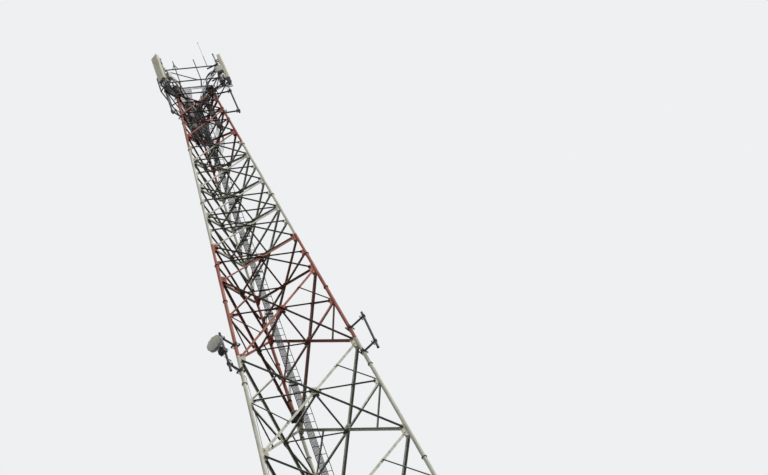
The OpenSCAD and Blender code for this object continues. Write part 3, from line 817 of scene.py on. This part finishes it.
# jumper cables from the feeders' upper ends, under the deck, out to the antennas
jumpers = {
    "count": 9, "radius": 0.0085, "spread": 0.024, "under": 28.47, "sagStep": 0.012, "sagCycle": 5,
    "rise": 0.05, "insidePart": (0.40, 0.45), "insideSpread": 0.8, "outsidePart": (0.86, 0.90), "dip": 0.06,
    "endPart": 0.96, "loop": 0.10, "loopStep": 0.012,
}


def jumperRoute(side, i):
    top = feederSpot(i % feeders["count"], mastTop - feeders["drop"])
    end = plugSpot(side, i % plugs["count"], -plugs["cableEnd"]).translation
    corner = onPole(side).translation
    gap = jumpers["spread"]*(i - jumpers["count"]/2)
    sag = jumpers["under"] + jumpers["sagStep"]*((i*2) % jumpers["sagCycle"])
    inX, inY = jumpers["insidePart"]
    outX, outY = jumpers["outsidePart"]
    inside = (corner.x*inX + gap*jumpers["insideSpread"], corner.y*inY + top.y*(1 - inY) + gap, sag)
    outside = (corner.x*outX + gap, corner.y*outY + top.y*(1 - outY) - gap, sag - jumpers["dip"])
    low = (end.x*jumpers["endPart"] + corner.x*(1 - jumpers["endPart"]), end.y,
           end.z - jumpers["loop"] - jumpers["loopStep"]*i)
    return [top, top + Vector((0, 0, jumpers["rise"])), inside, outside, low, end]


def runJumpers():
    routes = [(jumpers["radius"], jumperRoute(side, i)) for side in poles for i in range(jumpers["count"])]
    layCables("antenna_jumpers", routes, cableJacket)


# tail cables, held at both ends: from the feeders to just below the deck, and from there up along the head
tails = {
    "count": 34, "foot": (25.9, 26.7), "x": (-0.24, 0.10), "y": (-0.20, 0.10), "stray": 0.03,
    "knots": ((0.6, 26.8), (1.0, 27.2), (1.0, 27.8)), "roofPart": 0.9, "roof": (28.30, 28.47),
    "radius": (0.005, 0.010),
    "headCount": 22, "headSides": ("right", "right", "back", "left"), "headPart": (0.20, 0.45),
    "headStray": (0.06, 0.05), "headFoot": 28.52, "headLow": (28.80, 28.95), "lowMore": (0.1, 0.12),
    "headHigh": (29.0, 29.35), "highMore": 0.3, "headEnd": (29.1, 29.5), "endPart": 0.93,
}


def insideTail(i):
    draw = random.uniform
    stray = tails["stray"]
    knots = [feederSpot(i % feeders["count"], draw(*tails["foot"]))]
    x, y = draw(*tails["x"]), draw(*tails["y"])
    for part, z in tails["knots"]:
        knots.append(onMast(part*x + draw(-stray, stray), part*y + draw(-stray, stray), z).translation)
    part = tails["roofPart"]
    knots.append(onMast(x*part, y*part, draw(*tails["roof"])).translation)
    return draw(*tails["radius"]), knots


def headTail(i):
    draw = random.uniform
    sides = tails["headSides"]
    x, y = poles[sides[i % len(sides)]]["at"]
    wide, narrow = tails["headStray"]
    part = draw(*tails["headPart"])
    spots = [(x*part + draw(-wide, wide), y*part + draw(-narrow, narrow), tails["headFoot"])]
    moreX, moreY = tails["lowMore"]
    spots.append((x*(part + moreX), y*(part + moreY), draw(*tails["headLow"])))
    part += tails["highMore"]
    spots.append((x*part + draw(-narrow, narrow), y*part, draw(*tails["headHigh"])))
    part = tails["endPart"]
    spots.append((x*part, y*part, draw(*tails["headEnd"])))
    return draw(*tails["radius"]), [onMast(*spot).translation for spot in spots]


def runTails():
    routes = [insideTail(i) for i in range(tails["count"])]
    routes += [headTail(i) for i in range(tails["headCount"])]
    layCables("radio_tails", routes, cableJacket)


runJumpers()
runTails()
print("jumpers done")

# radios: units with a smooth lid on the antenna pipes, finned ones on the legs and under the head's corners
radios = {
    "size": (0.090, 0.160, 0.310), "edge": 0.006, "poleOff": 0.014,
    "legOff": 0.215, "legHeights": (mastTop - 1.780, mastTop - 1.170, mastTop - 0.560),
    "corner": (("left", -0.600, -0.545, 28.33, 140), ("left", -0.500, -0.520, 28.24, 60),
               ("right", 0.640, -0.560, 28.42, 20)),
    "fins": 8, "fin": 0.024, "finThick": 0.004, "finIn": 0.016,
    "lid": 0.008, "lidWide": 0.86, "lidTall": 0.90, "lidEdge": 0.003,
    "sole": 0.012, "soleDeep": 0.8, "soleWide": 0.9, "soleDown": 0.004, "soleEdge": 0.002,
}
# collar and arm on a leg, strap at a corner, pads, handle and plugs on every unit
radioFittings = {
    "padAt": (0.18, 0.82), "padIn": 0.010, "pad": (0.024, 0.060, 0.022),
    "collar": 0.009, "collarTall": 0.034, "armShort": 0.030, "arm": (0.024, 0.030), "armEdge": 0.003,
    "strap": (0.008, 0.036, 0.260), "strapIn": 0.012, "strapUp": 0.06, "edge": 0.002,
    "handleOut": 0.40, "handle": (0.012, 0.50, 0.006), "handleUp": 0.018, "post": (0.012, 0.006, 0.020),
    "postAt": 0.25, "postUp": 0.009, "postEdge": 0.001,
    "plugs": 4, "plugOut": 0.35, "plugPitch": 0.2,
    "plug": ((-0.018, 0.008, 0.020, 10), (-0.034, 0.006, 0.012, 6)),
}
radioCables = {
    "radius": 0.0050, "thick": 1.2, "start": -0.038, "drop": -0.110, "dropStep": 0.020, "pinch": 0.9,
    "gatherDown": 0.45, "sag": 0.16, "sagStep": 0.02, "riseOut": 0.06, "riseSpread": 1.3,
    "roof": 28.60, "roofStep": 0.015, "roofPart": 0.9,
    "panelIn": 0.030, "panelDown": 0.030, "panelStep": 0.05, "loop": 0.10, "loopStep": 0.015,
}


def plugAlong(i):
    return radios["size"][1]*radioFittings["plugPitch"]*(i - (radioFittings["plugs"] - 1)/2)


def radioPlaces():
    for side, pole in poles.items():
        out = head["pipe"]/2 + radios["poleOff"]
        yield side, "pole", onPole(side, pole["radioTurn"]) @ moved(out, 0, pole["radioFoot"])
    for leg in ("left", "right"):
        for h in radios["legHeights"]:
            spot = moved(-radios["legOff"], 0, alongLeg(h) - radios["size"][2]/2)
            yield leg, "leg", onLeg(legTurns[leg]) @ spot @ turnZ(180)
    for side, x, y, z, turn in radios["corner"]:
        yield side, "corner", onMast(x, y, z) @ turnZ(turn)


def addCase(bm, place, kind):
    deep, wide, tall = radios["size"]
    fin = radios["fin"]
    body = deep if kind == "pole" else deep - fin
    addBox(bm, place @ moved(body/2, 0, tall/2), (body, wide, tall), radios["edge"])
    if kind == "pole":
        lid = (radios["lid"], wide*radios["lidWide"], tall*radios["lidTall"])
        addBox(bm, place @ moved(body, 0, tall/2), lid, radios["lidEdge"])
    else:
        for k in range(radios["fins"]):
            y = (wide - radios["finIn"])*(k/(radios["fins"] - 1) - 0.5)
            addBox(bm, place @ moved(body + fin/2, y, tall/2), (fin, radios["finThick"], tall - fin))
    sole = (body*radios["soleDeep"], wide*radios["soleWide"], radios["sole"])
    addBox(bm, place @ moved(body/2, 0, -radios["soleDown"]), sole, radios["soleEdge"])


def fitRadio(bm, place, kind, side):
    deep, wide, tall = radios["size"]
    fit = radioFittings
    for part in fit["padAt"]:
        addBox(bm, place @ moved(-fit["padIn"], 0, tall*part), fit["pad"], fit["edge"])
    if kind == "leg":
        h = place.translation.z + tall/2
        collar = onLeg(legTurns[side]) @ moved(0, 0, alongLeg(h))
        addRod(bm, collar, legRadius(h) + fit["collar"], fit["collarTall"], roundSides["pipe"])
        arm = (radios["legOff"] - fit["armShort"], *fit["arm"])
        addBox(bm, place @ moved(-radios["legOff"]/2, 0, tall/2), arm, fit["armEdge"])
    if kind == "corner":
        addBox(bm, place @ moved(-fit["strapIn"], 0, tall + fit["strapUp"]), fit["strap"], fit["edge"])
    out = deep*fit["handleOut"]
    thick, part, high = fit["handle"]
    addBox(bm, place @ moved(out, 0, tall + fit["handleUp"]), (thick, wide*part, high), fit["edge"])
    for part in (-fit["postAt"], fit["postAt"]):
        addBox(bm, place @ moved(out, wide*part, tall + fit["postUp"]), fit["post"], fit["postEdge"])
    for i in range(fit["plugs"]):
        addRods(bm, place @ moved(deep*fit["plugOut"], plugAlong(i), 0), fit["plug"])


def wireRadio(place, kind, side, i):
    deep, _, tall = radios["size"]
    run = radioCables
    y = plugAlong(i)
    out = deep*radioFittings["handleOut"]
    start = place @ Vector((deep*radioFittings["plugOut"], y, run["start"]))
    drop = place @ Vector((out, y*run["pinch"], run["drop"] - run["dropStep"]*i))
    if kind != "leg":
        across = run["panelStep"]*(i - (radioFittings["plugs"] - 1)/2)
        end = onPanel(side, run["panelIn"], across, -run["panelDown"]).translation
        low = (drop + end)/2 + Vector((0, 0, -run["loop"] - run["loopStep"]*i))
        return [(run["radius"], [start, drop, low, end])]
    # a leg's unit has its cables down to the feeders, and a thicker set up to just below the deck
    gather = feederSpot(i, drop.z - run["gatherDown"])
    middle = (drop + gather)/2 + Vector((run["sagStep"]*i, run["sagStep"]*i, -run["sag"]))
    rise = place @ Vector((out + run["riseOut"], y*run["riseSpread"], tall/2))
    roof = Vector((rise.x*run["roofPart"], rise.y, run["roof"] - run["roofStep"]*i))
    lower, upper = [start, drop, middle, gather], [drop, rise, roof]
    return [(run["radius"], lower), (run["radius"]*run["thick"], upper)]


def buildRadios():
    cases = bmesh.new()
    fittings = bmesh.new()
    cables = []
    for side, kind, place in radioPlaces():
        addCase(cases, place, kind)
        fitRadio(fittings, place, kind, side)
        for i in range(radioFittings["plugs"]):
            cables += wireRadio(place, kind, side, i)
    units = keepPiece(cases, "radio_cases", radioPaint)
    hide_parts("radio_units")
    keepPiece(fittings, "radio_fittings", darkZinc)
    layCables("radio_cables", cables, cableJacket)


buildRadios()
print("radios done")

# deck grating: bearing bars, cross rods and a band round each panel
deck = {
    "in": 0.345, "corner": 0.570, "top": mastTop + 0.054, "deep": 0.014, "pitch": 0.014, "bar": 0.005,
    "barLeast": 0.02, "rodPitch": 0.050, "rodSteps": 60, "rod": (0.004, 0.005), "rodSunk": 0.003,
    "band": 0.004, "slit": 0.004, "hatch": (-0.035, -0.270, 0.225, 0.040),
}


def deckRects():
    x0, y0, x1, y1 = deck["hatch"]
    far, left, right = deck["corner"], x0 + deck["slit"], x1 - deck["slit"]
    return [(-far, -far, x0, far), (x1, -far, far, far), (left, -far, right, y0), (left, y1, right, far)]


def deckSlice(x, rect):
    slant, corner, near = math.sqrt(3)*x, deck["corner"], deck["in"]
    low = max(-near, -2*corner - slant, slant - 2*corner, rect[1])
    high = min(corner, 2*near - abs(slant), rect[3])
    return low, high


def addBand(bm, floor, rect):
    # the panel's outline as a strip, given its depth and joined into the grating
    band = bmesh.new()
    size = Matrix.Diagonal((rect[2] - rect[0], rect[3] - rect[1], 1, 1))
    middle = moved((rect[0] + rect[2])/2, (rect[1] + rect[3])/2, 0)
    bmesh.ops.create_grid(band, x_segments=1, y_segments=1, size=0.5, matrix=middle @ size)
    for i in range(6):
        reach = deck["corner"] if i % 2 else deck["in"]
        out = turnZ(30 + 60*i) @ Vector((1, 0, 0))
        bmesh.ops.bisect_plane(band, geom=band.verts[:] + band.edges[:] + band.faces[:],
                               plane_co=out*reach, plane_no=out, clear_outer=True)
    strip = set(bmesh.ops.inset_region(band, faces=band.faces[:], thickness=deck["band"])["faces"])
    bmesh.ops.delete(band, geom=[f for f in band.faces if f not in strip], context="FACES")
    bmesh.ops.solidify(band, geom=band.faces[:], thickness=deck["deep"])
    bmesh.ops.translate(band, verts=band.verts[:], vec=(0, 0, deck["deep"]/2))
    bmesh.ops.recalc_face_normals(band, faces=band.faces[:])
    bmesh.ops.transform(band, matrix=floor, verts=band.verts[:])
    mesh = bpy.data.meshes.new("band")
    band.to_mesh(mesh)
    band.free()
    bm.from_mesh(mesh)
    bpy.data.meshes.remove(mesh)


def layGrating():
    bm = bmesh.new()
    floor = onMast(0, 0, deck["top"] - deck["deep"]/2)
    for rect in deckRects():
        addBand(bm, floor, rect)
        wide = rect[2] - rect[0]
        steps = int(wide/deck["pitch"])
        for i in range(1, steps + 1):
            x = rect[0] + wide*i/(steps + 1)
            low, high = deckSlice(x, rect)
            if high - low > deck["barLeast"]:
                addBox(bm, floor @ moved(x, (low + high)/2, 0), (deck["bar"], high - low, deck["deep"]))
        y = -deck["in"] + deck["rodPitch"]/2
        while y < deck["corner"]:
            xs = [rect[0] + wide*i/deck["rodSteps"] for i in range(deck["rodSteps"] + 1)]
            xs = [x for x in xs if deckSlice(x, rect)[0] < y < deckSlice(x, rect)[1]]
            if len(xs) > 2:
                place = floor @ moved((xs[0] + xs[-1])/2, y, deck["deep"]/2 - deck["rodSunk"])
                addBox(bm, place, (xs[-1] - xs[0], *deck["rod"]))
            y += deck["rodPitch"]
    grating = keepPiece(bm, "deck_grating", darkZinc)
    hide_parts("platform_deck")


layGrating()
print("deck grating done")

# stand-offs: leg, the pipe's place and its two ends, the heights of its arms, and how many ends have a cap
standoffs = (
    ("left", -1.25, -0.80, 16.98, 18.02, (17.16, 17.90), 2),
    ("right", 1.25, -0.80, 16.98, 18.02, (17.16, 17.90), 1),
    ("left", -0.72, -0.47, mastTop - 1.52, mastTop - 0.19, (mastTop - 1.44, mastTop - 0.33), 2),
    ("right", 0.84, -0.31, mastTop - 1.52, mastTop - 0.23, (mastTop - 1.44, mastTop - 0.33), 2),
)
standoffPipe = {
    "radius": 0.021, "clampReach": 0.062, "clampThick": 0.010, "nutIn": 0.003, "nut": (0.0105, 0.009, 6),
    "bow": 0.004, "bowRoom": 0.007, "bowLift": 0.018, "bowBack": 0.060, "bowTurn": 0.72, "bowNutIn": 0.002,
    "bowNut": (0.008, 0.008, 6), "plate": (0.006, 0.086, 0.058), "plateBack": 0.050, "plateEdge": 0.0015,
    "capOver": 0.003, "capTall": 0.016,
}


def legSpot(leg, h):
    return turnZ(legTurns[leg]) @ Vector((radiusAt(h), 0, h))


def addArmBolts(nuts, bows, leg, x, y, h):
    fit = standoffPipe
    foot = legSpot(leg, h)
    aim = math.degrees(math.atan2(y - foot.y, x - foot.x))
    clamp = onMast(*foot) @ turnZ(aim)
    reach = legRadius(h) + 2*fit["clampThick"] - fit["nutIn"]
    for side in (-1, 1):
        for end in (-1, 1):
            addRod(nuts, clamp @ moved(end*reach, side*fit["clampReach"], 0) @ turned(90, "Y"), *fit["nut"])
    seat = onMast(x, y, h) @ turnZ(aim)
    r = fit["radius"] + fit["bowRoom"] + fit["bow"]
    bend = r*fit["bowTurn"]
    half = ((-fit["bowBack"], r), (0.0, r), (bend, bend), (r, 0))
    for lift in (-fit["bowLift"], fit["bowLift"]):
        bows.append((fit["bow"], bowLine(seat, half, lift)))
        for v in (-r, r):
            place = seat @ moved(fit["bowNutIn"] - fit["bowBack"], v, lift) @ turned(90, "Y")
            addRod(nuts, place, *fit["bowNut"])
    addBox(nuts, seat @ moved(-fit["plateBack"], 0, 0), fit["plate"], fit["plateEdge"])


def dressStandoffs():
    nuts = bmesh.new()
    caps = bmesh.new()
    bows = []
    for leg, x, y, low, top, arms, capped in standoffs:
        for h in arms:
            addArmBolts(nuts, bows, leg, x, y, h)
        for z in (low, top)[:capped]:
            radius = standoffPipe["radius"] + standoffPipe["capOver"]
            addRod(caps, onMast(x, y, z), radius, standoffPipe["capTall"], roundSides["cap"])
    keepPiece(nuts, "standoff_nuts", boltZinc)
    keepPiece(caps, "standoff_caps", cableJacket)
    layCables("standoff_bows", bows, boltZinc)


dressStandoffs()
print("stand-offs done")

# dish: clips round the rim, hub with bolts, outdoor unit and its cable
dishParts = {
    "at": (-1.25, -0.80, 17.52), "turn": 228, "reach": 0.150, "depth": 0.055, "shroud": 0.060,
    "radius": 0.151, "clips": 10, "clip": (0.024, 0.014, 0.005), "clipIn": 0.004, "clipEdge": 0.001,
    "screwIn": 0.012, "screwUp": 0.003, "screw": (0.004, 0.006, 6),
    "hub": (0.062, 0.008, 32), "hubIn": 0.003, "hubBolts": 6, "hubRing": 0.050,
    "hubBolt": (0.006, 0.010, 6), "hubBoltIn": 0.010,
    "unitAt": (0.085, 0.0, -0.085), "unit": (0.080, 0.130, 0.110), "unitEdge": 0.008,
    "fins": 5, "finPitch": 0.024, "finDown": 0.142, "fin": (0.070, 0.004, 0.016),
    "rodOut": 0.030, "rodAside": 0.050,
    "rod": ((0, 0.0045, 0.120, 10), (0.056, 0.008, 0.008, 6), (-0.056, 0.008, 0.008, 6)),
}


def dressDish():
    bm = bmesh.new()
    fit = dishParts
    place = onMast(*fit["at"]) @ turnZ(fit["turn"])
    front = fit["reach"] + fit["depth"] + fit["shroud"]
    for i in range(fit["clips"]):
        ring = place @ turned(360*i/fit["clips"], "X")
        addBox(bm, ring @ moved(front - fit["clipIn"], 0, fit["radius"]), fit["clip"], fit["clipEdge"])
        addRod(bm, ring @ moved(front - fit["screwIn"], 0, fit["radius"] + fit["screwUp"]), *fit["screw"])
    addRod(bm, place @ moved(fit["reach"] - fit["hubIn"], 0, 0) @ turned(90, "Y"), *fit["hub"])
    for i in range(fit["hubBolts"]):
        ring = place @ turned(360*(i + 0.5)/fit["hubBolts"], "X")
        spot = moved(fit["reach"] - fit["hubBoltIn"], 0, fit["hubRing"])
        addRod(bm, ring @ spot @ turned(90, "Y"), *fit["hubBolt"])
    addBox(bm, place @ moved(*fit["unitAt"]), fit["unit"], fit["unitEdge"])
    for k in range(fit["fins"]):
        aside = fit["finPitch"]*(k - (fit["fins"] - 1)/2)
        addBox(bm, place @ moved(fit["unitAt"][0], aside, -fit["finDown"]), fit["fin"])
    for y in (-fit["rodAside"], fit["rodAside"]):
        addRods(bm, place @ moved(fit["rodOut"], y, 0) @ turned(90, "Y"), fit["rod"])
    keepPiece(bm, "dish_fittings", darkZinc)


# the dish's cable: knots under the unit, over the arm, along it and down the leg
dishCable = {
    "radius": 0.0045, "start": (0.085, 0.040, -0.150),
    "unitKnots": ((-0.03, -0.02, -0.16), (0.06, 0.02, -0.24)), "arm": (-1.25, -0.80, 17.16),
    "armKnots": ((0.012, 0.012, 0.10), (0.02, 0.0, -0.035)), "sag": 0.045,
    "legTop": 17.13, "legKnot": (0.03, 0.03, -0.05), "legOff": (-0.052, 0.012),
    "legKnots": (16.9, 15.0, 13.0, 11.9, 10.0, 8.0, 6.0, 4.0, 2.2),
}


def wireDish():
    start = onMast(*dishParts["at"]) @ turnZ(dishParts["turn"]) @ Vector(dishCable["start"])
    arm = onMast(*dishCable["arm"]).translation
    leg = onMast(*legSpot("left", dishCable["legTop"])).translation
    route = [start] + [start + Vector(knot) for knot in dishCable["unitKnots"]]
    route += [arm + Vector(knot) for knot in dishCable["armKnots"]]
    route += [(arm + leg)/2 - Vector((0, 0, dishCable["sag"])), leg + Vector(dishCable["legKnot"])]
    route += [onLeg(legTurns["left"]) @ Vector((*dishCable["legOff"], s)) for s in dishCable["legKnots"]]
    layCables("dish_cable", [(dishCable["radius"], route)], cableJacket)


dressDish()
wireDish()
print("dish fittings done")

# lamps, world and floor
studio = {
    "skyLight": (0.93, 0.96, 1.0, 1), "skyLow": 0.14, "skyHigh": 1.25, "skyShown": (0.86, 0.87, 0.88, 1),
    "floorSide": 120.0, "floorShown": (0.60, 0.60, 0.595, 1), "floorDark": (0.03, 0.03, 0.029, 1),
    "floorRough": 0.9,
}
suns = {
    "keySun": {"strength": 2.3, "turn": (52, 0, 42), "angle": 40, "colour": (1.0, 0.98, 0.94)},
    "fillSun": {"strength": 0.35, "turn": (60, 0, -115), "angle": 60, "colour": (0.94, 0.97, 1.0)},
}


def backdropRay(tree):
    rays = tree.nodes.new("ShaderNodeLightPath")
    total = rays.outputs["Is Camera Ray"]
    for name in ("Is Glossy Ray", "Is Transmission Ray"):
        add = tree.nodes.new("ShaderNodeMath")
        add.operation = "MAXIMUM"
        tree.links.new(total, add.inputs[0])
        tree.links.new(rays.outputs[name], add.inputs[1])
        total = add.outputs["Value"]
    return total


def makeWorld():
    world = bpy.data.worlds.new("studioSky")
    scene.world = world
    world.use_nodes = True
    tree = world.node_tree
    tree.nodes.clear()
    light = tree.nodes.new("ShaderNodeBackground")
    light.inputs["Color"].default_value = studio["skyLight"]
    up = heightOf(tree, tree.nodes.new("ShaderNodeTexCoord").outputs["Generated"])
    strength = addRange(tree, up, 0.0, 1.0, studio["skyLow"], studio["skyHigh"])
    tree.links.new(strength, light.inputs["Strength"])
    shown = tree.nodes.new("ShaderNodeBackground")
    shown.inputs["Color"].default_value = studio["skyShown"]
    shown.inputs["Strength"].default_value = 1.0
    mix = tree.nodes.new("ShaderNodeMixShader")
    tree.links.new(backdropRay(tree), mix.inputs["Fac"])
    tree.links.new(light.outputs["Background"], mix.inputs[1])
    tree.links.new(shown.outputs["Background"], mix.inputs[2])
    out = tree.nodes.new("ShaderNodeOutputWorld")
    tree.links.new(mix.outputs["Shader"], out.inputs["Surface"])


def makeSun(name, look):
    sunData = bpy.data.lights.new(name, "SUN")
    sunData.energy = look["strength"]
    sunData.angle = math.radians(look["angle"])
    sunData.color = look["colour"]
    sun = bpy.data.objects.new(name, sunData)
    sun.rotation_euler = Euler([math.radians(t) for t in look["turn"]])
    scene.collection.objects.link(sun)


def makeFloor():
    bm = bmesh.new()
    bmesh.ops.create_grid(bm, x_segments=1, y_segments=1, size=studio["floorSide"]/2)
    mesh = bpy.data.meshes.new("studioFloor")
    bm.to_mesh(mesh)
    bm.free()
    floor = bpy.data.objects.new("studioFloor", mesh)
    scene.collection.objects.link(floor)
    mat = bpy.data.materials.new("floorPaper")
    mat.use_nodes = True
    tree = mat.node_tree
    shader = tree.nodes["Principled BSDF"]
    shader.inputs["Roughness"].default_value = studio["floorRough"]
    colour = addMix(tree, backdropRay(tree), studio["floorDark"], studio["floorShown"])
    tree.links.new(colour, shader.inputs["Base Color"])
    mesh.materials.append(mat)


makeWorld()
for sunName, look in suns.items():
    makeSun(sunName, look)
makeFloor()
scene.view_settings.view_transform = "Standard"
print("studio ready")
